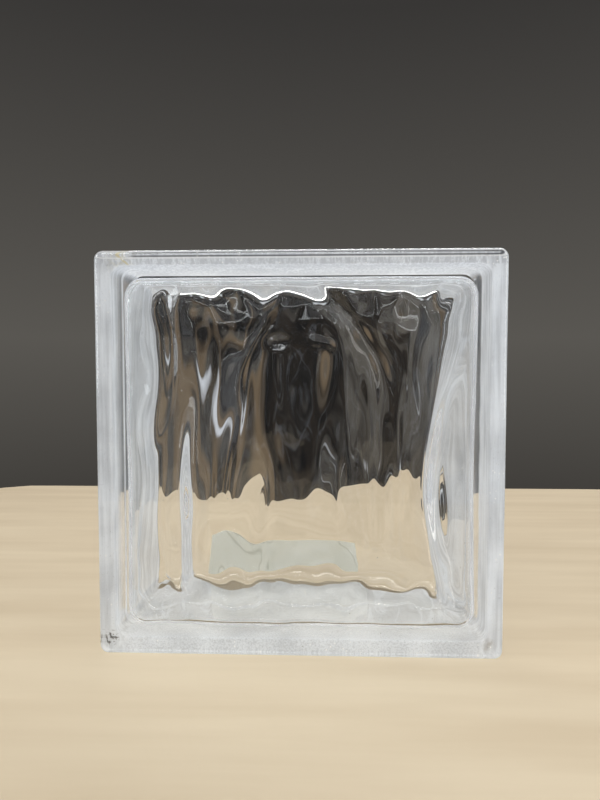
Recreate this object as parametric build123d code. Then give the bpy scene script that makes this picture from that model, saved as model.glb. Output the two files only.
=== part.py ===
from build123d import *

import math
import os

# A hollow glass building block that stands on its edge. Two pressed glass dishes are fused mouth to mouth.
# X runs across the face, Y through the block and Z up. The origin is the middle of the underside.
# The front face looks along -Y. All sizes are in millimetres and all angles in degrees.

# Outside of the block
face_size = 190.0
block_depth = 80.0
rim_corner_radius = 4.5
face_edge_radius = 2.5

# Mortar channel that runs round the four edges, between the two rims
rim_land = 9.0
shoulder_run = 3.5
channel_depth = 5.5
channel_corner_radius = 5.5
channel_draft = 0.7

# Bead of glass where the two dishes are fused, outside and inside
outer_bead_width = 5.0
outer_bead_height = 0.6
inner_bead_width = 3.0
inner_bead_height = 0.7
bead_root = 0.2
bead_crest = 0.35

# Sealed cavity, pressed by a plunger with rounded edges and a wavy end
face_plate = 9.5
side_wall = 6.0
cavity_draft = 1.8
cavity_corner_radius = 11.0
cavity_edge_radius = 8.0
cavity_edge_overrun = 1.0

# Slow wave over the inside of each face
flow_pitch = 120.0
flow_height = 0.7
wave_sampling = 2.5

# Folds on the slow wave. Each stands up by its height, or lies below it, with its middle at x and z from the middle
# of the face. It falls off within its reach to each side and within its length along it. Lean and bend move it to
# the right, by millimetres per millimetre of its length and of its length squared.
left_fold = dict(x=-59.5, z=-25.0, height=4.0, left=50.0, right=7.0, length=60.0, lean=0.02, bend=0.0008)
right_fold = dict(x=60.0, z=-15.0, height=3.8, left=6.8, right=50.0, length=56.0, lean=0.0, bend=0.0035)
slanting_fold = dict(x=34.5, z=48.0, height=2.0, left=7.5, right=7.5, length=30.0, lean=-0.55, bend=-0.009)
middle_trough = dict(x=-18.0, z=0.0, height=-1.5, left=18.0, right=16.0, length=100.0, lean=0.1, bend=0.0)
folds = (left_fold, right_fold, slanting_fold, middle_trough)

# Blank paper tape stuck on the back face
tape_length = 88.0
tape_width = 20.0
tape_thickness = 0.15
tape_from_middle = -11.0
tape_above_underside = 25.0

# Places that follow from the sizes
half_face = face_size / 2
half_depth = block_depth / 2
side_run = half_depth - rim_land - shoulder_run
channel_half = half_face - channel_depth
channel_half_at_seam = channel_half + side_run * math.tan(math.radians(channel_draft))
cavity_half = channel_half - side_wall
cavity_reach = half_depth - face_plate
cavity_half_at_seam = cavity_half + cavity_reach * math.tan(math.radians(cavity_draft))


def rounded_square(half_size, corner_radius, y):
    """Square with round corners that crosses the block at depth y, centred on its axis."""
    across = Plane(origin=(0, y, half_face), x_dir=(1, 0, 0), z_dir=(0, -1, 0))
    return across * RectangleRounded(2 * half_size, 2 * half_size, corner_radius)


def tapered_block(near, far):
    """Solid with flat sides from one rounded square to another, each given as half size, corner radius, depth."""
    return loft([rounded_square(*near), rounded_square(*far)], ruled=True)


def fold_height(fold, x, z):
    """Glass that one fold adds to a face, at x across from the axis and z above it."""
    along = z - fold["z"]
    away = x - fold["x"] - fold["lean"] * along - fold["bend"] * along**2
    reach = fold["right"] if away > 0 else fold["left"]
    return fold["height"] * math.exp(-((away / reach) ** 2) - (along / fold["length"]) ** 2)


def wave_height(x, z):
    """Glass that the slow wave and the folds add to a face, at x across from the axis and z above it."""
    flow = flow_height * math.sin(math.tau * (z + x / 2) / flow_pitch)
    return flow + sum(fold_height(fold, x, z) for fold in folds)


def wave_sheet():
    """Wavy inside of the front face as one smooth surface, a little wider than the cavity."""
    reach = cavity_half_at_seam + wave_sampling
    steps = math.ceil(2 * reach / wave_sampling)
    places = [2 * reach * i / steps - reach for i in range(steps + 1)]
    rows = [[Vector(x, wave_height(x, z) - cavity_reach, half_face + z) for z in places] for x in places]
    return Face.make_surface_from_array_of_points(rows, tol=0.01)


def dish_outside():
    """Outside of the front dish: its rim, the shoulder behind it and the side down to the seam."""
    rim_back = rim_land - half_depth
    rim = extrude(rounded_square(half_face, rim_corner_radius, rim_back), rim_land)
    front_face = rim.faces().sort_by(Axis.Y)[0]
    rim = fillet(front_face.edges(), face_edge_radius)
    rim_edge = (half_face, rim_corner_radius, rim_back)
    channel_edge = (channel_half, channel_corner_radius, rim_back + shoulder_run)
    seam_edge = (channel_half_at_seam, channel_corner_radius, 0)
    return rim + tapered_block(rim_edge, channel_edge) + tapered_block(channel_edge, seam_edge)


def dish_hollow():
    """Hollow pressed into the front dish. Its rounded edges run on past the deepest wave, which cuts them off."""
    deepest = flow_height - min(fold["height"] for fold in folds)
    edge_reach = cavity_reach + deepest + cavity_edge_overrun
    plunger = extrude(rounded_square(cavity_half_at_seam, cavity_corner_radius, 0), edge_reach, taper=cavity_draft)
    plunger = fillet(plunger.faces().sort_by(Axis.Y)[0].edges(), cavity_edge_radius)
    return plunger & extrude(wave_sheet(), block_depth, dir=(0, 1, 0))


def seam_bead(half_size, corner_radius, width, height):
    """Low bead with sloping sides along the seam of a rounded square, outwards by height, or inwards if below 0."""
    root = math.copysign(bead_root, -height)
    crest = bead_crest * width / 2
    outline = Polyline((-width / 2, root), (-crest, height), (crest, height), (width / 2, root), close=True)
    across_seam = Plane(origin=(half_size, 0, half_face), x_dir=(0, 1, 0), z_dir=(0, 0, -1))
    return sweep(across_seam * make_face(outline), path=rounded_square(half_size, corner_radius, 0).wire())


def glass_block():
    """Two like dishes fused at the seam, with the beads of glass that the fusing leaves."""
    dish = dish_outside() - dish_hollow()
    facing_dish = dish.rotate(Axis.Z, 180)
    outer_bead = seam_bead(channel_half_at_seam, channel_corner_radius, outer_bead_width, outer_bead_height)
    inner_bead = seam_bead(cavity_half_at_seam, cavity_corner_radius, inner_bead_width, -inner_bead_height)
    return dish + facing_dish + outer_bead + inner_bead


def paper_tape():
    """Blank strip of paper tape flat on the back face, near its foot."""
    place = Location((tape_from_middle, half_depth, tape_above_underside))
    aligned = (Align.CENTER, Align.MIN, Align.CENTER)
    return place * Box(tape_length, tape_thickness, tape_width, align=aligned)


os.makedirs("parts", exist_ok=True)
export_step(glass_block(), "parts/glass_block.step")
export_step(paper_tape(), "parts/paper_tape.step")
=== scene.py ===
import logging
import math
from dataclasses import dataclass, field
from enum import Enum
from typing import Any, Iterator, Sequence

import bmesh
import bpy
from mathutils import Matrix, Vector, noise


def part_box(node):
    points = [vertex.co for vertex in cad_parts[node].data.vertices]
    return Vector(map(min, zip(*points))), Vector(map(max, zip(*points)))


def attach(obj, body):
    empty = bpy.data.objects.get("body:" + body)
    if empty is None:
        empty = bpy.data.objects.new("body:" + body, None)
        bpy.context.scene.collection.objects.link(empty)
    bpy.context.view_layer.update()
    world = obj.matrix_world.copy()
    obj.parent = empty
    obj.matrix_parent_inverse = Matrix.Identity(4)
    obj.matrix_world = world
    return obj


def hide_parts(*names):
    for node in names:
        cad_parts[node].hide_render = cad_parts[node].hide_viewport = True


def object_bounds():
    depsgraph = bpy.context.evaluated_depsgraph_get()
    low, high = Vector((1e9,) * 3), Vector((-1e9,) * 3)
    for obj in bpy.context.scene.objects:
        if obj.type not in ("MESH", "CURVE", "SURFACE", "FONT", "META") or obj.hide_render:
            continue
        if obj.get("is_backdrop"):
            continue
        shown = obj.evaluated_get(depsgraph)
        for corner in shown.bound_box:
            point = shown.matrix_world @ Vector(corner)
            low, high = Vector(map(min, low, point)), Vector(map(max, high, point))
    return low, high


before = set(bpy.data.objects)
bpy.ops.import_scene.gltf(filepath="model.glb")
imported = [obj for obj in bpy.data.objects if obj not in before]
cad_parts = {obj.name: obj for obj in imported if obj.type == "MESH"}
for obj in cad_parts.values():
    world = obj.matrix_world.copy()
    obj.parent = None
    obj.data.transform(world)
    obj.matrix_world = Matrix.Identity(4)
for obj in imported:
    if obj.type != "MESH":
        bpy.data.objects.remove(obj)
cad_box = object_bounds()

# A hollow glass building block on a pale table. Two pressed dishes are fused mouth to mouth, their four
# mortar edges carry a whitish coat, and a strip of paper tape is stuck on the back face.
# Sizes of the pieces are in millimetres and become metres where a mesh or a material is made. The table,
# the lamps and the camera are placed in metres.

log = logging.getLogger("glass_block")

MM = 0.001
# Millimetres within which two places count as one
TOUCHING = 0.01
# Angle from which a corner of a section counts as straight
NEARLY_STRAIGHT = math.pi - 0.01
# Two numbers: the ends of a stretch, a width and a height, or a place across and upwards
Span = tuple[float, float]
Point = tuple[float, float, float]
Colour = tuple[float, float, float]
Ring = list[Point]


class Skin(Enum):
    """Finish of a stretch of the glass, in the order of the mesh's material slots."""

    CLEAR = 0
    COATED = 1


class Facing(Enum):
    """The two dishes, which are one pressing turned half round about the upright axis."""

    FRONT = 1
    BACK = -1


class ShaderGraph:
    """Small helper that fills the node tree of one material or world."""

    def __init__(self, owner: Any, coordinates: str = "Object") -> None:
        """Empties the owner's node tree but for the place that textures are read at.

        Args:
            owner: The material or world whose nodes are made.
            coordinates: Object for a place in the object, in metres, or Generated for a ray's direction.
        """
        owner.use_nodes = True
        self.tree = owner.node_tree
        self.tree.nodes.clear()
        self.place = self.add("TexCoord").outputs[coordinates]

    def add(self, kind: str, inputs: dict[Any, Any] | None = None, **settings: Any) -> Any:
        """Adds a node.

        Args:
            kind: The node's type without its ShaderNode prefix.
            inputs: Socket name or index to a value, or to an output socket that is linked to it.
            **settings: Attributes of the node.

        Returns:
            The new node.
        """
        node = self.tree.nodes.new("ShaderNode" + kind)
        for name, value in settings.items():
            setattr(node, name, value)
        for name, value in (inputs or {}).items():
            if isinstance(value, bpy.types.NodeSocket):
                self.tree.links.new(value, node.inputs[name])
            else:
                node.inputs[name].default_value = value
        return node

    def math(self, operation: str, first: Any, second: Any = 0.0, clamp: bool = False) -> Any:
        """Adds a math node, clamped between 0 and 1 if asked, and returns its result's socket."""
        return self.add("Math", {0: first, 1: second}, operation=operation, use_clamp=clamp).outputs[0]

    def remap(self, value: Any, low: float, high: float, to_low: float, to_high: float) -> Any:
        """Adds a clamped map range from low and high to to_low and to_high, and returns its socket."""
        return self.add("MapRange", {0: value, 1: low, 2: high, 3: to_low, 4: to_high}).outputs[0]

    def times(self, first: Any, second: Any) -> Any:
        """Adds the product of two values or sockets, and returns its socket."""
        return self.math("MULTIPLY", first, second)

    def away(self, value: Any, level: float) -> Any:
        """Adds how far a value lies from a level, and returns its socket."""
        return self.math("ABSOLUTE", self.math("SUBTRACT", value, level))

    def ramp(self, value: Any, span: Span, to_low: float, to_high: float) -> Any:
        """Adds a clamped map range over a span in millimetres, and returns its socket."""
        return self.remap(value, span[0] * MM, span[1] * MM, to_low, to_high)

    def noise(self, scale: float, detail: float = 3.0, roughness: float = 0.5, place: Any = None) -> Any:
        """Adds a noise texture.

        Args:
            scale: Waves in a metre.
            detail: Octaves.
            roughness: Weight of the finer octaves.
            place: Socket of the place it is read at, or None for the graph's own.

        Returns:
            The socket of its grey value.
        """
        place = self.place if place is None else place
        inputs = {"Vector": place, "Scale": scale, "Detail": detail, "Roughness": roughness}
        return self.add("TexNoise", inputs).outputs[0]

    def wander(self, scale: float, most: float) -> Any:
        """Adds an uneven shift of up to most millimetres either way, and returns its socket in metres."""
        return self.remap(self.noise(scale), 0.3, 0.7, -most * MM, most * MM)

    def stretch(self, scale: Point) -> Any:
        """Scales the place along each axis, so that a texture read at it is drawn out."""
        return self.add("Mapping", {"Vector": self.place, "Scale": scale}).outputs[0]

    def axes(self) -> tuple[Any, Any, Any]:
        """Splits the place into the sockets of its three parts."""
        return tuple(self.add("SeparateXYZ", {0: self.place}).outputs)

    def spot(self, centre: Point, reach: float, core: float) -> Any:
        """Adds a soft spot.

        Args:
            centre: Its middle in millimetres.
            reach: Radius in millimetres at which it ends.
            core: Share of the radius over which it is full.

        Returns:
            A socket that is 1 in the middle and 0 outside.
        """
        middle = tuple(value * MM for value in centre)
        away = self.add("VectorMath", {0: self.place, 1: middle}, operation="DISTANCE").outputs["Value"]
        return self.ramp(away, (core * reach, reach), 1.0, 0.0)

    def tint(self, factor: Any, first: Sequence[float], second: Sequence[float]) -> Any:
        """Mixes two colours.

        Args:
            factor: Socket or value from 0 for the first to 1 for the second.
            first: First colour as red, green and blue, or a socket.
            second: Second colour, or a socket.

        Returns:
            The colour's socket.
        """
        node = self.add("Mix", data_type="RGBA")
        for index, value in ((0, factor), (6, first), (7, second)):
            if isinstance(value, bpy.types.NodeSocket):
                self.tree.links.new(value, node.inputs[index])
            elif isinstance(value, float):
                node.inputs[index].default_value = value
            else:
                node.inputs[index].default_value = (*value, 1.0)
        return node.outputs[2]

    def blend(self, factor: Any, first: Any, second: Any) -> Any:
        """Mixes two shaders, from 0 for the first to 1 for the second, and returns the socket."""
        return self.add("MixShader", {0: factor, 1: first, 2: second}).outputs[0]

    def finish(self, shader: Any, kind: str = "OutputMaterial") -> None:
        """Links a shader to an output node of a kind."""
        self.add(kind, {0: shader})


@dataclass(frozen=True)
class ClearGlass:
    """Pressed clear glass with a faint cool cast, a slight haze and a few dots of dust."""

    name: str = "clear_glass"
    refraction: float = 1.52
    cast: Colour = (0.985, 0.99, 0.99)
    shadow_cast: Colour = (0.94, 0.95, 0.955)
    dust: Colour = (0.85, 0.86, 0.87)
    dust_cover: float = 0.75
    haze: float = 0.004

    def shader(self, graph: ShaderGraph) -> Any:
        """Adds the glass itself.

        Args:
            graph: The graph that it is added to.

        Returns:
            The shader's socket.
        """
        haze = graph.remap(graph.noise(35.0, 4.0, 0.6), 0.5, 0.8, 0.0, self.haze)
        glass = graph.add("BsdfPrincipled", {
            "Base Color": (*self.cast, 1.0),
            "Roughness": haze,
            "IOR": self.refraction,
            "Transmission Weight": 1.0,
        })
        dust = graph.add("BsdfDiffuse", {0: (*self.dust, 1.0)})
        cells = graph.add("TexVoronoi", {"Vector": graph.place, "Scale": 130.0})
        dots = graph.remap(cells.outputs["Distance"], 0.02, 0.045, self.dust_cover, 0.0)
        few = graph.remap(graph.noise(22.0), 0.52, 0.6, 0.0, 1.0)
        return graph.blend(graph.times(dots, few), glass.outputs[0], dust.outputs[0])

    def build(self) -> bpy.types.Material:
        """Makes the material, which lets light through to the inside.

        Returns:
            The material.
        """
        material = bpy.data.materials.new(self.name)
        graph = ShaderGraph(material)
        path = graph.add("LightPath")
        indirect = graph.math("MAXIMUM", path.outputs["Is Shadow Ray"], path.outputs["Is Diffuse Ray"])
        through = graph.add("BsdfTransparent", {0: (*self.shadow_cast, 1.0)})
        graph.finish(graph.blend(indirect, self.shader(graph), through.outputs[0]))
        return material


@dataclass(frozen=True)
class MortarCoat:
    """Thin whitish coat on the mortar edges: grainy, a little see-through, worn and stained in places, with
    painted light and shade.
    """

    name: str = "mortar_coat"
    pale: Colour = (0.88, 0.92, 0.98)
    dull: Colour = (0.62, 0.65, 0.7)
    # Painted highlight colour: painted light on the top channel, a bright line on the upper rim and glints
    painted_highlight: Colour = (0.98, 0.99, 1.0)
    stain: Colour = (0.7, 0.64, 0.42)
    dirt: Colour = (0.07, 0.065, 0.07)
    smudge: Colour = (0.3, 0.27, 0.24)
    # Near black of a painted shade line along the upper rim
    rim_shade: Colour = (0.05, 0.052, 0.056)
    glow_share: float = 0.55
    cover: float = 0.95
    light_let_in: float = 0.7
    # Side channels, where the coat is drawn into upright streaks
    side: Span = (83.0, 87.0)
    drawn_share: float = 0.85
    # Top channel: the height at which it begins, and the depth over which its grey grain fades and painted
    # light from above grows
    top: Span = (183.5, 184.3)
    top_run: Span = (-18.0, 22.0)
    # Worn coat in the other channels: its start and the length of its ramp, at the left and at the right
    loose_start: Span = (-21.0, 1.5)
    loose_ramp: Span = (20.0, 4.0)
    loose_side: float = 80.0
    loose_most: float = 0.7
    whole_above: Span = (181.5, 184.0)
    whole_below: Span = (5.6, 8.5)
    # A painted highlight line and a painted shade line along the upper rim, which end in depth at its back
    rim_end: Span = (-28.5, -28.0)
    rim_highlight_high: float = 187.4
    rim_highlight_edge: Span = (0.0, 0.4)
    rim_shade_high: float = 188.15
    rim_shade_edge: Span = (0.15, 0.4)
    rim_shade_left: Span = (-84.0, -79.0)
    # Old glue on a slope that meets the middle at glue_level, dirt at the foot and a rubbed spot
    glue_slope: float = 6.0 / 6.8
    glue_level: float = 113.0
    glue_edge: Span = (0.35, 0.8)
    glue_spot: Point = (-84.5, -29.5, 187.5)
    blush_spot: Point = (-84.0, -29.5, 187.0)
    dirt_spot: Point = (-91.2, -28.8, 5.0)
    smudge_spot: Point = (90.2, -28.7, 3.9)

    def ground(self, graph: ShaderGraph, grain: Any) -> Any:
        """Adds the plain coat: mottled, drawn out at the sides, and brushed on top, where painted light
        whitens the top channel deeper in.

        Args:
            graph: The graph that it is added to.
            grain: Socket of the fine grain.

        Returns:
            The colour's socket.
        """
        across, depth, up = graph.axes()
        streaks = graph.noise(420.0, place=graph.stretch((1.0, 1.0, 0.05)))
        beside = graph.ramp(graph.math("ABSOLUTE", across), self.side, 0.0, self.drawn_share)
        fine = graph.add("Mix", {0: beside, 2: grain, 3: streaks}).outputs[0]
        blotches = graph.noise(45.0, 4.0)
        mottled = graph.math("ADD", graph.times(fine, 0.6), graph.times(blotches, 0.4))
        colour = graph.tint(graph.remap(mottled, 0.4, 0.58, 0.0, 1.0), self.dull, self.pale)
        on_top = graph.ramp(up, self.top, 0.0, 1.0)
        # Painted light from above: the top channel turns whiter deeper in
        painted_top_light = graph.times(on_top, graph.ramp(depth, self.top_run, 0.0, 0.4))
        colour = graph.tint(painted_top_light, colour, self.painted_highlight)
        brushed = graph.noise(800.0, 2.0, place=graph.stretch((1.0, 0.3, 0.3)))
        greyed = graph.times(on_top, graph.remap(brushed, 0.42, 0.58, 0.0, 1.0))
        greyed = graph.times(greyed, graph.ramp(depth, self.top_run, 1.0, 0.3))
        return graph.tint(greyed, colour, self.dull)

    def glue(self, graph: ShaderGraph, colour: Any) -> Any:
        """Adds the slanting streak of old glue at the upper left corner, with a soft stain round it.

        Args:
            graph: The graph that it is added to.
            colour: Socket of the colour that it lies on.

        Returns:
            The colour's socket.
        """
        across, _, up = graph.axes()
        slope = graph.math("ADD", graph.times(across, self.glue_slope), up)
        beside = graph.away(graph.math("ADD", slope, graph.wander(300.0, 0.4)), self.glue_level * MM)
        streak = graph.ramp(beside, self.glue_edge, 0.9, 0.0)
        streak = graph.times(streak, graph.spot(self.glue_spot, 6.5, 0.7))
        blush = graph.times(graph.spot(self.blush_spot, 9.0, 0.1),
                            graph.remap(graph.noise(500.0), 0.45, 0.65, 0.05, 0.45))
        return graph.tint(graph.math("MAXIMUM", streak, blush), colour, self.stain)

    def rim_lines(self, graph: ShaderGraph, colour: Any) -> Any:
        """Adds a painted highlight line and a painted shade line along the upper rim.

        Args:
            graph: The graph that they are added to.
            colour: Socket of the colour that they lie on.

        Returns:
            The colour's socket.
        """
        across, depth, up = graph.axes()
        on_rim = graph.ramp(depth, self.rim_end, 1.0, 0.0)
        # Painted highlight: a bright line along the upper rim
        painted_rim_highlight = graph.ramp(graph.away(up, self.rim_highlight_high * MM), self.rim_highlight_edge, 0.9, 0.0)
        colour = graph.tint(graph.times(painted_rim_highlight, on_rim), colour, self.painted_highlight)
        # Painted shade: a dark line along the upper rim, fading out at the left
        run = graph.math("ADD", across, graph.wander(60.0, 6.0))
        line = graph.ramp(graph.away(up, self.rim_shade_high * MM), self.rim_shade_edge, 1.0, 0.0)
        line = graph.times(line, graph.ramp(run, self.rim_shade_left, 0.0, 0.85))
        return graph.tint(graph.times(line, on_rim), colour, self.rim_shade)

    def marks(self, graph: ShaderGraph, colour: Any) -> Any:
        """Adds the dirt, the rubbed spot and painted glints: small bright dots.

        Args:
            graph: The graph that they are added to.
            colour: Socket of the colour that they lie on.

        Returns:
            The colour's socket.
        """
        scribble = graph.times(graph.spot(self.dirt_spot, 4.2, 0.6),
                               graph.remap(graph.noise(700.0), 0.47, 0.56, 0.0, 0.9))
        colour = graph.tint(scribble, colour, self.dirt)
        rubbed = graph.times(graph.spot(self.smudge_spot, 4.0, 0.2),
                             graph.remap(graph.noise(300.0), 0.35, 0.6, 0.2, 0.8))
        colour = graph.tint(rubbed, colour, self.smudge)
        # Painted glints: small bright dots scattered over the coat
        cells = graph.add("TexVoronoi", {"Vector": graph.place, "Scale": 420.0})
        sparse = graph.remap(graph.noise(90.0), 0.5, 0.6, 0.0, 1.0)
        painted_glints = graph.times(graph.remap(cells.outputs["Distance"], 0.12, 0.2, 1.0, 0.0), sparse)
        return graph.tint(painted_glints, colour, self.painted_highlight)

    def hold(self, graph: ShaderGraph, grain: Any) -> Any:
        """Adds how fully the coat covers the glass.

        Args:
            graph: The graph that it is added to.
            grain: Socket of the fine grain.

        Returns:
            A socket that is 1 where only the coat shows and 0 on bare glass.
        """
        across, depth, up = graph.axes()
        side = self.loose_side * MM
        start = graph.remap(across, -side, side, self.loose_start[0] * MM, self.loose_start[1] * MM)
        ramp = graph.remap(across, -side, side, self.loose_ramp[0] * MM, self.loose_ramp[1] * MM)
        behind = graph.math("SUBTRACT", graph.math("ADD", depth, graph.wander(70.0, 1.5)), start)
        loose = graph.times(graph.math("DIVIDE", behind, ramp, clamp=True), self.loose_most)
        loose = graph.times(loose, graph.ramp(up, self.whole_above, 1.0, 0.0))
        loose = graph.times(loose, graph.ramp(up, self.whole_below, 0.0, 1.0))
        facing = graph.add("LayerWeight", {0: 0.5}).outputs["Facing"]
        thin = graph.times(graph.remap(facing, 0.68, 0.8, 0.0, 1.0), loose)
        worn = graph.remap(grain, 0.6, 0.72, 0.0, 0.35)
        return graph.math("SUBTRACT", graph.math("SUBTRACT", self.cover, thin), worn, clamp=True)

    def build(self) -> bpy.types.Material:
        """Makes the material.

        Returns:
            The material.
        """
        material = bpy.data.materials.new(self.name)
        graph = ShaderGraph(material)
        grain = graph.noise(1100.0, 4.0, 0.65)
        colour = self.ground(graph, grain)
        colour = self.glue(graph, colour)
        colour = self.rim_lines(graph, colour)
        colour = self.marks(graph, colour)
        bump = graph.add("Bump", {"Strength": 0.35, "Distance": 0.0004, "Height": grain})
        paint = graph.add("BsdfPrincipled", {
            "Base Color": colour, "Roughness": 0.5, "IOR": 1.45, "Normal": bump.outputs[0],
        })
        glow = graph.add("BsdfTranslucent", {0: colour, 1: bump.outputs[0]})
        body = graph.blend(self.glow_share, paint.outputs[0], glow.outputs[0])
        seen = graph.blend(self.hold(graph, grain), ClearGlass().shader(graph), body)
        let_in = graph.add("BsdfTransparent", {0: (self.light_let_in,) * 3 + (1.0,)})
        path = graph.add("LightPath")
        graph.finish(graph.blend(path.outputs["Is Shadow Ray"], seen, let_in.outputs[0]))
        return material


@dataclass(frozen=True)
class TapePaper:
    """Cream paper tape with a soft fibre and painted shade along faint folds."""

    name: str = "cream_paper"
    pale: Colour = (0.99, 0.98, 0.92)
    deep: Colour = (0.84, 0.83, 0.74)
    # Colour of the painted shade along the folds
    crease_shade: Colour = (0.66, 0.65, 0.56)
    glow_share: float = 0.5

    def build(self) -> bpy.types.Material:
        """Makes the material.

        Returns:
            The material.
        """
        material = bpy.data.materials.new(self.name)
        graph = ShaderGraph(material)
        fibre = graph.noise(900.0, 5.0, 0.7)
        soft = graph.noise(60.0)
        mottled = graph.math("ADD", graph.times(fibre, 0.4), graph.times(soft, 0.6))
        colour = graph.tint(graph.remap(mottled, 0.35, 0.65, 0.0, 1.0), self.deep, self.pale)
        # Painted shade: darker lines along faint folds of the flat strip
        painted_crease_shade = graph.remap(graph.away(graph.noise(38.0, 2.0, 0.4), 0.5), 0.0, 0.022, 0.75, 0.0)
        colour = graph.tint(painted_crease_shade, colour, self.crease_shade)
        bump = graph.add("Bump", {"Strength": 0.4, "Distance": 0.0002, "Height": fibre})
        paper = graph.add("BsdfPrincipled", {
            "Base Color": colour, "Roughness": 0.75, "Normal": bump.outputs[0],
        })
        glow = graph.add("BsdfTranslucent", {0: colour})
        graph.finish(graph.blend(self.glow_share, paper.outputs[0], glow.outputs[0]))
        return material


@dataclass(frozen=True)
class PaleTable:
    """Matt pale table top."""

    name: str = "pale_table"
    light: Colour = (0.56, 0.46, 0.32)
    shade: Colour = (0.5, 0.4, 0.27)

    def build(self) -> bpy.types.Material:
        """Makes the material.

        Returns:
            The material.
        """
        material = bpy.data.materials.new(self.name)
        graph = ShaderGraph(material)
        streaks = graph.noise(40.0, 4.0, place=graph.stretch((0.12, 1.0, 1.0)))
        colour = graph.tint(graph.remap(streaks, 0.35, 0.65, 0.0, 1.0), self.light, self.shade)
        table = graph.add("BsdfPrincipled", {"Base Color": colour, "Roughness": 0.6})
        graph.finish(table.outputs[0])
        return material


@dataclass(frozen=True)
class Corner:
    """One corner of the block's outline in section, which is rounded off.

    Attributes:
        half: Half the width of the square there.
        depth: Place through the block, where the front face is negative.
        turn: Radius of the square's four corners there.
        blend: Radius that rounds this corner off.
    """

    half: float
    depth: float
    turn: float
    blend: float = 0.0


@dataclass(frozen=True)
class Fold:
    """One long fold pressed into a face: a crest whose two sides may differ in steepness.

    Attributes:
        across: Place of the crest from the middle of the face, at the fold's middle height.
        lean: How far the crest moves across for each millimetre upwards.
        height: Height of the crest, or depth of a trough if below 0.
        left: Reach of the slope on the left.
        right: Reach of the slope on the right.
        middle: Height of the fold's middle above the middle of the face.
        length: Half the length over which it fades out.
        bend: How far it curves across for each square millimetre of its length.
    """

    across: float
    lean: float
    height: float
    left: float
    right: float
    middle: float
    length: float
    bend: float = 0.0

    def at(self, x: float, z: float) -> float:
        """Height of the fold.

        Args:
            x: Place across the face from its middle.
            z: Place above its middle.

        Returns:
            Glass that the fold adds to the face.
        """
        along = z - self.middle
        away = x - self.across - self.lean * along - self.bend * along**2
        side = self.right if away > 0 else self.left
        return self.height * math.exp(-((away / side) ** 2) - (along / self.length) ** 2)


@dataclass(frozen=True)
class Ripple:
    """Fine uneven relief with a spacing across and upwards, read from one layer of the noise."""

    height: float
    across: float
    up: float
    layer: float

    def at(self, x: float, z: float) -> float:
        """Returns the glass that the relief adds at a place across and upwards."""
        return self.height * noise.noise(Vector((x / self.across, z / self.up, self.layer)))


# Long folds: the left one, the right one, the slanting one and the shallow trough in the middle
MAIN_FOLDS = (
    Fold(-59.5, 0.02, 4.0, 50.0, 7.0, -25.0, 60.0, 0.0008),
    Fold(63.7, 0.0, 3.8, 6.8, 50.0, -15.0, 56.0, 0.0035),
    Fold(34.5, -0.55, 2.0, 7.5, 7.5, 48.0, 30.0, -0.009),
    Fold(-18.0, 0.1, -1.5, 18.0, 16.0, 0.0, 100.0),
)
LESSER_FOLDS = (
    # Beside the left fold and the right one
    Fold(-50.0, 0.02, -0.9, 4.2, 4.0, -5.0, 38.0, 0.0008),
    Fold(67.2, 0.0, 2.4, 5.0, 32.0, -15.0, 46.0, 0.0035),
    Fold(59.9, 0.0, -1.1, 4.0, 4.0, -15.0, 50.0, 0.0035),
    Fold(78.7, 0.0, 2.1, 8.5, 30.0, -10.0, 60.0),
    Fold(78.0, 0.0, 1.2, 9.0, 50.0, 70.0, 14.0),
    # Upper left, and the crest of the slanting fold
    Fold(-76.0, 0.0, 1.2, 30.0, 7.0, 36.0, 16.0),
    Fold(-60.5, 0.0, 0.9, 2.6, 2.6, 45.0, 28.0, -0.0042),
    Fold(33.8, -0.55, 1.2, 3.0, 3.0, 50.0, 20.0, -0.009),
    # Narrow spikes right of the middle
    Fold(36.6, 0.0, 1.5, 2.8, 2.8, -23.0, 18.0),
    Fold(44.4, 0.0, 1.5, 2.6, 2.6, -23.0, 18.0),
    Fold(49.9, 0.0, 1.2, 2.5, 2.5, -24.0, 17.0),
    Fold(40.0, -0.06, 0.5, 2.6, 2.6, -2.0, 30.0),
    # Short crest high up, and the peak left of the middle
    Fold(-10.0, 0.0, 1.5, 5.0, 5.0, 53.0, 3.2),
    Fold(-20.7, 0.05, 3.2, 6.5, 5.0, -25.5, 20.5),
    Fold(17.0, 0.0, -0.3, 5.0, 5.0, -17.0, 8.0),
    # Low down, in front of the tape
    Fold(-44.0, 0.0, -1.2, 7.0, 6.0, -56.0, 18.0),
    Fold(-31.0, 0.1, 1.3, 6.5, 6.0, -62.0, 18.0),
    Fold(-8.0, 0.1, -1.0, 9.0, 8.0, -58.0, 18.0),
    Fold(14.0, 0.0, 0.8, 8.0, 8.0, -60.0, 16.0),
    # Half-way up, and broad slow ones above
    Fold(12.3, 0.0, 0.4, 7.0, 6.0, -27.0, 12.0),
    Fold(30.7, 0.0, 0.8, 5.0, 5.0, -28.0, 12.0),
    Fold(-44.0, 0.0, -0.6, 8.0, 7.0, -25.0, 10.0),
    Fold(-78.0, 0.0, 1.9, 30.0, 9.5, 12.0, 46.0),
    Fold(-44.0, 0.2, 0.9, 6.0, 8.0, 45.0, 30.0),
    Fold(8.0, -0.25, 1.1, 8.0, 10.0, 30.0, 40.0),
)


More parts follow.
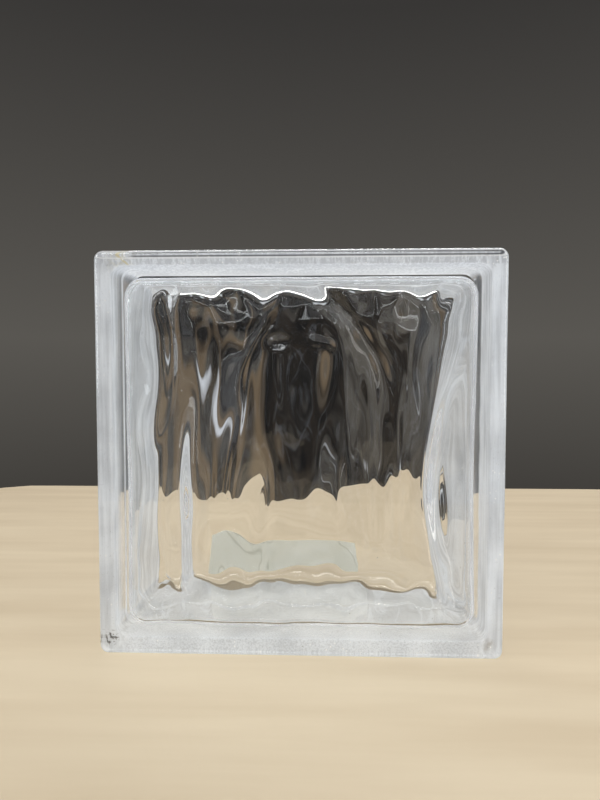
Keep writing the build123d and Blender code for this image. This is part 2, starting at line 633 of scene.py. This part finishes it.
@dataclass
class PressedDish:
    """One pressed glass dish, with the sizes of its outside and of the hollow in it."""

    # Outside, with the roundings of its section
    face: float = 190.0
    depth: float = 80.0
    rim_turn: float = 4.5
    face_edge: float = 2.5
    face_inset: float = 0.5
    land: float = 9.0
    land_blend: float = 0.7
    shoulder: float = 3.5
    shoulder_blend: float = 1.4
    channel: float = 5.5
    channel_turn: float = 5.5
    channel_draft: float = 0.7
    bead_width: float = 5.0
    bead_height: float = 0.6
    bead_blend: float = 0.8
    # Hollow
    plate: float = 9.5
    wall: float = 6.0
    wall_bulge: float = 0.14
    bulge_pitch: float = 19.0
    draft: float = 1.8
    cavity_turn: float = 9.0
    cavity_edge: float = 4.5
    edge_sweep: float = 88.0
    inner_bead_width: float = 3.0
    inner_bead_height: float = 0.7
    # Waves on the hollow's floor
    flow_pitch: float = 120.0
    flow_height: float = 0.7
    folds: tuple[Fold, ...] = MAIN_FOLDS + LESSER_FOLDS
    wander: Ripple = Ripple(9.0, 60.0, 70.0, 1.7)
    drawn: Ripple = Ripple(0.5, 9.0, 55.0, 4.2)
    pooled: Ripple = Ripple(1.1, 22.0, 30.0, 9.1)
    scallop: Ripple = Ripple(1.0, 11.0, 13.0, 2.2)
    scallop_from: float = 0.6
    scallop_run: float = 0.2
    # Steps of the mesh
    edge_steps: int = 9
    wall_steps: int = 4
    bead_steps: int = 4
    grid: int = 160

    @property
    def half_face(self) -> float:
        """Half the width of the face."""
        return self.face / 2

    @property
    def half_depth(self) -> float:
        """Depth of one dish."""
        return self.depth / 2

    @property
    def channel_half(self) -> float:
        """Half the width across the channels behind the shoulder."""
        return self.half_face - self.channel

    @property
    def seam_half(self) -> float:
        """Half the width across the channels at the seam."""
        run = self.half_depth - self.land - self.shoulder
        return self.channel_half + run * math.tan(math.radians(self.channel_draft))

    @property
    def reach(self) -> float:
        """Depth of the hollow in one dish."""
        return self.half_depth - self.plate

    @property
    def cavity_half(self) -> float:
        """Half the width of the hollow at its floor."""
        return self.channel_half - self.wall

    @property
    def cavity_seam_half(self) -> float:
        """Half the width of the hollow at the seam."""
        return self.cavity_half + self.reach * math.tan(math.radians(self.draft))

    @property
    def cavity_seam_turn(self) -> float:
        """Radius of the hollow's corners at the seam."""
        return self.cavity_turn + self.cavity_seam_half - self.cavity_half

    def wave(self, x: float, z: float) -> float:
        """Returns the glass that all waves add to the face, at x across and z above its middle."""
        flow = self.flow_height * math.sin(math.tau * (z + x / 2) / self.flow_pitch)
        return flow + sum(fold.at(x, z) for fold in self.folds) + self.fine_wave(x, z)

    def fine_wave(self, x: float, z: float) -> float:
        """Fine relief on top of the folds: upright ripples, pooled glass and scallops near top and bottom.

        Args:
            x: Place across the face from its middle.
            z: Place above its middle.

        Returns:
            Height of the relief, inwards.
        """
        moved = x + self.wander.at(x, z)
        beside_edge = min(max(abs(z) / self.cavity_half - self.scallop_from, 0.0) / self.scallop_run, 1.0)
        return self.drawn.at(moved, z) + self.pooled.at(moved, z) + beside_edge * self.scallop.at(x, z)


def quarter_place(half: float, turn: float, along: float) -> Span:
    """Place on the right-hand side of a square with round corners.

    Args:
        half: Half the width of the square.
        turn: Radius of its corners.
        along: From -1 in the middle of the lower corner to 1 in the middle of the upper one.

    Returns:
        The place across and upwards from the middle.
    """
    straight = half - turn
    way = abs(along) * (straight + turn * math.pi / 4)
    if way <= straight:
        return half, math.copysign(way, along)
    angle = (way - straight) / turn
    return straight + turn * math.cos(angle), math.copysign(straight + turn * math.sin(angle), along)


def square_place(half: float, turn: float, u: float, v: float) -> Span:
    """Takes a place on the edge of a plain square to a square with round corners.

    Args:
        half: Half the width of the round square.
        turn: Radius of its corners.
        u: Place across, where the larger of u and v is the size of the plain square.
        v: Place upwards.

    Returns:
        The place across and upwards from the middle.
    """
    size = max(abs(u), abs(v))
    if size == 0.0:
        return 0.0, 0.0
    if abs(u) >= abs(v):
        across, up = quarter_place(half, turn, v / size)
        return math.copysign(across, u), up
    up, across = quarter_place(half, turn, u / size)
    return across, math.copysign(up, v)


def plain_square(count: int) -> list[Span]:
    """Steps round the edge of a plain square of half size 1.

    Args:
        count: Steps along one side.

    Returns:
        The places in order, each corner once.
    """
    steps = [2 * i / count - 1 for i in range(count)]
    right = [(1.0, s) for s in steps]
    top = [(-s, 1.0) for s in steps]
    left = [(-1.0, -s) for s in steps]
    bottom = [(s, -1.0) for s in steps]
    return right + top + left + bottom


def rounded_section(corners: Sequence[Corner], steps: int) -> list[Corner]:
    """Rounds off the corners of an outline in section.

    Args:
        corners: The outline, whose ends stay as they are.
        steps: Steps in each rounding.

    Returns:
        The outline's points, with every rounding as an arc.
    """
    points = [corners[0]]
    for before, here, after in zip(corners, corners[1:], corners[2:]):
        corner = Vector((here.half, here.depth))
        to_before = Vector((before.half - here.half, before.depth - here.depth)).normalized()
        to_after = Vector((after.half - here.half, after.depth - here.depth)).normalized()
        opening = to_before.angle(to_after)
        if here.blend <= 0.0 or opening > NEARLY_STRAIGHT:
            points.append(here)
            continue
        cut = here.blend / math.tan(opening / 2)
        inwards = (to_before + to_after).normalized()
        middle = corner + inwards * here.blend / math.sin(opening / 2)
        start = corner + to_before * cut - middle
        sweep = start.angle_signed(corner + to_after * cut - middle)
        span_before = math.hypot(before.half - here.half, before.depth - here.depth)
        span_after = math.hypot(after.half - here.half, after.depth - here.depth)
        turn_in = here.turn + (before.turn - here.turn) * cut / span_before
        turn_out = here.turn + (after.turn - here.turn) * cut / span_after
        for i in range(steps + 1):
            share = i / steps
            angle = -sweep * share
            spot = middle + Vector((start.x * math.cos(angle) - start.y * math.sin(angle),
                                    start.x * math.sin(angle) + start.y * math.cos(angle)))
            points.append(Corner(spot.x, spot.y, turn_in + (turn_out - turn_in) * share))
    return points + [corners[-1]]


@dataclass
class GlassShell:
    """The fused block as one closed mesh: its outside, and the sealed hollow inside it."""

    name: str = "fused_glass_block"
    dish: PressedDish = field(default_factory=PressedDish)
    outside_count: int = 48
    crowding: float = 2.2
    sharp_angle: float = 38.0

    def outside_section(self) -> list[tuple[Corner, Skin]]:
        """Outline of the front dish's outside in section, from the face to the seam.

        Returns:
            Each point with the finish of the stretch that follows it.
        """
        dish = self.dish
        front = -dish.half_depth
        inset = dish.face_edge + dish.face_inset
        turn = dish.channel_turn
        corners = [
            Corner(dish.half_face - inset, front, dish.rim_turn - dish.face_edge),
            Corner(dish.half_face, front, dish.rim_turn, dish.face_edge),
            Corner(dish.half_face, front + dish.land, dish.rim_turn, dish.land_blend),
            Corner(dish.channel_half, front + dish.land + dish.shoulder, turn, dish.shoulder_blend),
            Corner(dish.seam_half, -dish.bead_width / 2, turn, dish.bead_blend),
            Corner(dish.seam_half + dish.bead_height, 0.0, turn),
        ]
        points = rounded_section(corners, dish.edge_steps)
        coat_from = front + dish.face_edge - TOUCHING
        return [(point, Skin.COATED if point.depth >= coat_from else Skin.CLEAR) for point in points]

    def ring(self, point: Corner, facing: Facing) -> Ring:
        """One ring of the outside.

        Args:
            point: Where it lies in the section of the front dish.
            facing: The dish that it belongs to.

        Returns:
            The ring's places in metres.
        """
        places = []
        for u, v in plain_square(self.outside_count):
            x, z = square_place(point.half, point.turn, self.crowd(u), self.crowd(v))
            places.append((x * MM, point.depth * facing.value * MM, (z + self.dish.half_face) * MM))
        return places

    def crowd(self, share: float) -> float:
        """Moves a place along a side, from -1 to 1, towards the ends, where the outline turns."""
        return math.copysign(1 - (1 - abs(share)) ** self.crowding, share)

    def build_outside(self) -> bmesh.types.BMesh:
        """Makes the outside, whose faces carry their finish.

        Returns:
            The mesh, facing outwards.
        """
        mesh = bmesh.new()
        section = self.outside_section()
        places = [self.ring(point, Facing.FRONT) for point, _ in section]
        places += [self.ring(point, Facing.BACK) for point, _ in reversed(section[:-1])]
        rings = [[mesh.verts.new(place) for place in ring] for ring in places]
        skins = [skin for _, skin in section[:-1]]
        for near, far, skin in zip(rings, rings[1:], skins + skins[::-1]):
            join_rings(mesh, near, far, skin)
        mesh.faces.new(rings[0])
        mesh.faces.new(rings[-1])
        bmesh.ops.recalc_face_normals(mesh, faces=mesh.faces)
        return mesh

    def floor_point(self, u: float, v: float) -> Point:
        """Place on the wavy floor of the front dish's hollow, whose rings turn rounder towards its edge.

        Args:
            u: Place across the plain square, from -1 to 1.
            v: Place upwards.

        Returns:
            The place in millimetres, with the depth second.
        """
        dish = self.dish
        share = max(abs(u), abs(v))
        half = dish.cavity_half - dish.cavity_edge
        turn = (dish.cavity_turn - dish.cavity_edge) * share ** 4
        x, z = square_place(half * share, turn, u, v)
        return x, dish.wave(x, z) - dish.reach, z

    def hollow_rings(self) -> Iterator[Ring]:
        """Rings of the front dish's hollow from the edge of its floor to the seam, in millimetres.

        Yields:
            The places of one ring, with the depth second.
        """
        dish = self.dish
        edge = dish.cavity_edge
        square = plain_square(dish.grid)
        last = []
        for i in range(1, dish.edge_steps + 1):
            angle = math.radians(dish.edge_sweep) * i / dish.edge_steps
            out = edge * math.sin(angle)
            rise = edge * (1 - math.cos(angle))
            half = dish.cavity_half - edge + out
            turn = dish.cavity_turn - edge + out
            flat = [square_place(half, turn, u, v) for u, v in square]
            last = [(x, dish.wave(x, z) - dish.reach + rise, z) for x, z in flat]
            yield last
        bead_from = -dish.inner_bead_width / 2
        for i in range(1, dish.wall_steps + 1):
            share = i / dish.wall_steps
            yield [self.wall_place(p, u, v, share, bead_from) for p, (u, v) in zip(last, square)]
        for i in range(1, dish.bead_steps + 1):
            depth = bead_from * (1 - i / dish.bead_steps)
            swell = dish.inner_bead_height * (1 - (depth / bead_from) ** 2)
            half = dish.cavity_seam_half - swell
            flat = [square_place(half, dish.cavity_seam_turn - swell, u, v) for u, v in square]
            yield [(x, depth, z) for x, z in flat]

    def wall_place(self, start: Point, u: float, v: float, share: float, end_depth: float) -> Point:
        """Place on the sloping wall of the hollow.

        Args:
            start: Where the rounding of the floor's edge ends.
            u: Place across the plain square.
            v: Place upwards.
            share: From 0 at the start to 1 beside the seam.
            end_depth: Depth of the wall's end.

        Returns:
            The place in millimetres.
        """
        dish = self.dish
        end_x, end_z = square_place(dish.cavity_seam_half, dish.cavity_seam_turn, u, v)
        pitch = dish.bulge_pitch
        uneven = noise.noise(Vector((start[0] / pitch, share, start[2] / pitch)))
        scale = 1 + dish.wall_bulge * math.sin(math.pi * share) * uneven / dish.cavity_half
        x = start[0] + (end_x - start[0]) * share
        z = start[2] + (end_z - start[2]) * share
        return x * scale, start[1] + (end_depth - start[1]) * share, z * scale

    def add_place(self, mesh: bmesh.types.BMesh, place: Point, facing: Facing) -> Any:
        """Adds a place of the front dish's hollow, turned half round for the back one.

        Args:
            mesh: The mesh that it is added to.
            place: The place in millimetres, with the depth second.
            facing: The dish that it belongs to.

        Returns:
            The vertex.
        """
        x, y, z = place
        turned = facing.value * MM
        return mesh.verts.new((x * turned, y * turned, (z + self.dish.half_face) * MM))

    def build_hollow(self) -> bmesh.types.BMesh:
        """Makes the sealed hollow's skin, which faces into the hollow.

        Returns:
            The mesh.
        """
        count = self.dish.grid
        mesh = bmesh.new()
        steps = [2 * i / count - 1 for i in range(count + 1)]
        floor = [[self.floor_point(u, v) for v in steps] for u in steps]
        rings = list(self.hollow_rings())
        edge = [(round((u + 1) * count / 2), round((v + 1) * count / 2)) for u, v in plain_square(count)]
        for facing in Facing:
            grid = [[self.add_place(mesh, place, facing) for place in column] for column in floor]
            fill_grid(mesh, grid)
            near = [grid[i][j] for i, j in edge]
            for ring in rings:
                far = [self.add_place(mesh, place, facing) for place in ring]
                join_rings(mesh, near, far, Skin.CLEAR)
                near = far
        bmesh.ops.remove_doubles(mesh, verts=mesh.verts, dist=TOUCHING * MM)
        bmesh.ops.recalc_face_normals(mesh, faces=mesh.faces)
        bmesh.ops.reverse_faces(mesh, faces=mesh.faces)
        return mesh

    def build(self, finishes: Sequence[bpy.types.Material]) -> bpy.types.Object:
        """Makes the block and dresses it.

        Args:
            finishes: A material for each skin, in the order of Skin.

        Returns:
            The block's object.
        """
        outside = self.build_outside()
        hollow = self.build_hollow()
        data = bpy.data.meshes.new(self.name)
        hollow.to_mesh(data)
        outside.from_mesh(data)
        outside.to_mesh(data)
        hollow.free()
        outside.free()
        data.shade_smooth()
        data.set_sharp_from_angle(angle=math.radians(self.sharp_angle))
        for finish in finishes:
            data.materials.append(finish)
        return add_object(self.name, data)


def join_rings(mesh: bmesh.types.BMesh, near: Sequence[Any], far: Sequence[Any], skin: Skin) -> None:
    """Joins two closed rings of equal length with faces.

    Args:
        mesh: The mesh that holds them.
        near: Vertices of one ring.
        far: Vertices of the other.
        skin: Finish of the faces.
    """
    for i, start in enumerate(near):
        after = (i + 1) % len(near)
        face = mesh.faces.new((start, near[after], far[after], far[i]))
        face.material_index = skin.value


def fill_grid(mesh: bmesh.types.BMesh, grid: Sequence[Sequence[Any]]) -> None:
    """Fills a grid of vertices with faces.

    Args:
        mesh: The mesh that holds them.
        grid: The vertices, column by column.
    """
    for left, right in zip(grid, grid[1:]):
        for corners in zip(left, left[1:], right[1:], right):
            mesh.faces.new(corners)


def add_object(name: str, data: bpy.types.Mesh) -> bpy.types.Object:
    """Puts a mesh in the scene.

    Args:
        name: The object's name.
        data: Its mesh.

    Returns:
        The object.
    """
    thing = bpy.data.objects.new(name, data)
    bpy.context.scene.collection.objects.link(thing)
    return thing


def add_closed(name: str, mesh: bmesh.types.BMesh, finish: bpy.types.Material) -> bpy.types.Object:
    """Turns a closed mesh's faces outwards, dresses it in one finish and puts it in the scene.

    Args:
        name: The object's name.
        mesh: Its mesh, which is freed.
        finish: Its material.

    Returns:
        The object.
    """
    bmesh.ops.recalc_face_normals(mesh, faces=mesh.faces)
    data = bpy.data.meshes.new(name)
    mesh.to_mesh(data)
    mesh.free()
    data.materials.append(finish)
    return add_object(name, data)


@dataclass
class TapeStrip:
    """Strip of paper tape on the back face, whose ends and long sides are cut a little unevenly."""

    name: str = "paper_tape_strip"
    node: str = "paper_tape"
    columns: int = 90
    rows: int = 18
    ends: Ripple = Ripple(0.7, 1 / 7, 1.0, 3.3)
    sides: Ripple = Ripple(0.25, 1 / 9, 1.0, 6.1)

    def inset(self, ripple: Ripple, share: float, along: float) -> float:
        """How far an edge is set in from the solid's.

        Args:
            ripple: The edge's unevenness.
            share: From 0 at one edge to 1 at the one opposite. Only these two are set in.
            along: Place along the edge, from 0 to 1.

        Returns:
            The way in metres, which is below 0 at the far edge.
        """
        if share not in (0.0, 1.0):
            return 0.0
        return MM * abs(ripple.at(along, share)) * (1 - 2 * share)

    def layer(self, mesh: bmesh.types.BMesh, low: Vector, high: Vector, depth: float) -> list[list[Any]]:
        """Adds the vertices of one side of the strip.

        Args:
            mesh: The mesh that they are added to.
            low: Lowest corner of the solid.
            high: Highest corner.
            depth: Place of the side through the block.

        Returns:
            The vertices, column by column.
        """
        grid = []
        for i in range(self.columns + 1):
            column = []
            for j in range(self.rows + 1):
                across, up = i / self.columns, j / self.rows
                x = low.x + (high.x - low.x) * across + self.inset(self.ends, across, up)
                z = low.z + (high.z - low.z) * up + self.inset(self.sides, up, across)
                column.append(mesh.verts.new((x, depth, z)))
            grid.append(column)
        return grid

    def outline(self, grid: Sequence[Sequence[Any]]) -> list[Any]:
        """Finds the edge of a grid.

        Args:
            grid: The vertices, column by column.

        Returns:
            The vertices round its edge, in order.
        """
        bottom = [column[0] for column in grid]
        top = [column[-1] for column in reversed(grid)]
        return bottom + grid[-1][1:-1] + top + grid[0][-2:0:-1]

    def build(self, finish: bpy.types.Material) -> bpy.types.Object:
        """Makes the strip within the space of its solid.

        Args:
            finish: The paper's material.

        Returns:
            The strip's object.
        """
        low, high = (Vector(corner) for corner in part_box(self.node))
        mesh = bmesh.new()
        layers = [self.layer(mesh, low, high, depth) for depth in (low.y, high.y)]
        for grid in layers:
            fill_grid(mesh, grid)
        join_rings(mesh, self.outline(layers[0]), self.outline(layers[1]), Skin.CLEAR)
        return add_closed(self.name, mesh, finish)


@dataclass(frozen=True)
class Surroundings:
    """Even light from all round, with a plain dark wall for the camera, and drapes too for glass and gloss."""

    name: str = "surroundings"
    wall_low: Colour = (0.02, 0.018, 0.016)
    wall_middle: Colour = (0.1, 0.094, 0.084)
    wall_high: Colour = (0.04, 0.038, 0.036)
    ceiling: Colour = (0.55, 0.56, 0.58)
    drape_dark: Colour = (0.006, 0.006, 0.007)
    drape_warm: Colour = (0.2, 0.145, 0.09)
    drape_pale: Colour = (0.66, 0.69, 0.74)
    ambient: Colour = (0.8, 0.82, 0.86)
    ambient_strength: float = 0.35

    def wall(self, graph: ShaderGraph) -> Any:
        """Adds the plain wall, which is lightest half-way up, and the pale ceiling above it.

        Args:
            graph: The graph that it is added to.

        Returns:
            The colour's socket.
        """
        rise = graph.axes()[2]
        shade = graph.tint(graph.remap(rise, -0.35, 0.05, 0.0, 1.0), self.wall_low, self.wall_middle)
        shade = graph.tint(graph.remap(rise, 0.05, 0.5, 0.0, 1.0), shade, self.wall_high)
        return graph.tint(graph.remap(rise, 0.6, 0.75, 0.0, 1.0), shade, self.ceiling)

    def drapes(self, graph: ShaderGraph, inside: Any, shade: Any) -> Any:
        """Adds dark, warm and pale drapes, drawn out upwards, before the wall.

        Args:
            graph: The graph that they are added to.
            inside: Socket that is 1 for the rays that see them.
            shade: Socket of the wall's colour.

        Returns:
            The colour's socket.
        """
        drawn = graph.stretch((1.0, 1.0, 0.35))
        dark = graph.remap(graph.noise(6.5, 3.0, 0.55, drawn), 0.42, 0.54, 0.0, 0.92)
        shade = graph.tint(graph.times(dark, inside), shade, self.drape_dark)
        warm = graph.remap(graph.noise(4.1, 2.0, place=drawn), 0.52, 0.62, 0.0, 0.7)
        below_ceiling = graph.remap(graph.axes()[2], 0.4, 0.5, 1.0, 0.0)
        warm = graph.times(graph.times(warm, inside), below_ceiling)
        shade = graph.tint(warm, shade, self.drape_warm)
        pale = graph.remap(graph.noise(9.0, 2.0, place=drawn), 0.62, 0.67, 0.0, 0.9)
        return graph.tint(graph.times(pale, inside), shade, self.drape_pale)

    def build(self) -> None:
        """Makes the world."""
        world = bpy.data.worlds.new(self.name)
        bpy.context.scene.world = world
        graph = ShaderGraph(world, "Generated")
        path = graph.add("LightPath")
        inside = graph.math("MAXIMUM", path.outputs["Is Glossy Ray"], path.outputs["Is Transmission Ray"])
        seen = graph.math("MAXIMUM", path.outputs["Is Camera Ray"], inside)
        shade = self.drapes(graph, inside, self.wall(graph))
        light = graph.add("Background", {0: (*self.ambient, 1.0), 1: self.ambient_strength})
        wall = graph.add("Background", {0: shade, 1: 1.0})
        graph.finish(graph.blend(seen, light.outputs[0], wall.outputs[0]), "OutputWorld")


@dataclass(frozen=True)
class Lamp:
    """Soft area lamp that points at its target, in metres and watts."""

    name: str
    spot: Point
    size: Span
    power: float
    tint: Colour
    target: Point = (0.0, 0.0, 0.1)

    def build(self) -> None:
        """Hangs the lamp."""
        data = bpy.data.lights.new(self.name, "AREA")
        data.shape = "RECTANGLE"
        data.size, data.size_y = self.size
        data.energy = self.power
        data.color = self.tint
        lamp = bpy.data.objects.new(self.name, data)
        lamp.location = self.spot
        aim = Vector(self.target) - Vector(self.spot)
        lamp.rotation_euler = aim.to_track_quat("-Z", "Y").to_euler()
        bpy.context.scene.collection.objects.link(lamp)


LAMPS = (
    Lamp("ceiling_lamp", (0.0, -0.25, 1.2), (2.0, 1.1), 6.5, (0.96, 0.98, 1.0)),
    Lamp("front_lamp", (-0.3, -1.3, 1.4), (1.2, 0.6), 12.0, (0.95, 0.98, 1.0)),
    Lamp("left_lamp", (-1.1, -0.5, 0.5), (0.6, 0.9), 7.0, (0.92, 0.97, 1.0)),
    Lamp("right_lamp", (1.1, -0.4, 0.45), (0.6, 0.9), 4.6, (1.0, 0.98, 0.94)),
    Lamp("back_lamp", (0.2, 0.9, 1.35), (1.6, 0.14), 13.0, (1.0, 0.98, 0.95)),
)


@dataclass(frozen=True)
class Viewpoint:
    """Where the photograph was taken from. Pitch is how far the camera looks down, in degrees."""

    lens: float = 27.05
    sensor: float = 36.0
    spot: Point = (0.0106, -0.3157, 0.1348)
    pitch: float = 2.85
    roll: float = 0.02
    yaw: float = 2.08

    def build(self) -> None:
        """Sets the camera there."""
        data = bpy.data.cameras.new("camera")
        data.lens = self.lens
        data.sensor_width = self.sensor
        data.sensor_fit = "AUTO"
        data.clip_start = 0.01
        camera = bpy.data.objects.new("camera", data)
        camera.location = self.spot
        turns = (90 - self.pitch, self.roll, self.yaw)
        camera.rotation_euler = tuple(math.radians(turn) for turn in turns)
        bpy.context.scene.collection.objects.link(camera)
        bpy.context.scene.camera = camera


@dataclass
class Studio:
    """Table top, plain surroundings, soft lamps and the camera. Its sizes are in metres."""

    table_half: float = 0.37
    table_thick: float = 0.03
    table_turn: float = 0.05
    table_steps: int = 24

    def build_table(self) -> None:
        """Makes the table top and marks it as stage."""
        mesh = bmesh.new()
        square = plain_square(self.table_steps)
        outline = [square_place(self.table_half, self.table_turn, u, v) for u, v in square]
        top = [mesh.verts.new((x, y, 0.0)) for x, y in outline]
        bottom = [mesh.verts.new((x, y, -self.table_thick)) for x, y in outline]
        join_rings(mesh, top, bottom, Skin.CLEAR)
        mesh.faces.new(top)
        mesh.faces.new(bottom)
        table = add_closed("table", mesh, PaleTable().build())
        table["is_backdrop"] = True

    def build(self) -> None:
        """Makes everything round the block."""
        self.build_table()
        Surroundings().build()
        for lamp in LAMPS:
            lamp.build()
        Viewpoint().build()
        bpy.context.scene.view_settings.view_transform = "Standard"


def main() -> None:
    """Builds the block, its tape and the studio, and reports each piece."""
    logging.basicConfig(level=logging.INFO, format="%(name)s: %(message)s")
    block = GlassShell().build([ClearGlass().build(), MortarCoat().build()])
    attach(block, "root")
    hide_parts("glass_block")
    log.info("%s has %d faces", block.name, len(block.data.polygons))
    tape = TapeStrip().build(TapePaper().build())
    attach(tape, "root")
    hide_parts("paper_tape")
    log.info("%s has %d faces", tape.name, len(tape.data.polygons))
    Studio().build()
    boxes = {"cad": cad_box, "visual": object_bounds()}
    {name: [list(corner) for corner in box] for name, box in boxes.items()}


if __name__ == "__main__":
    main()
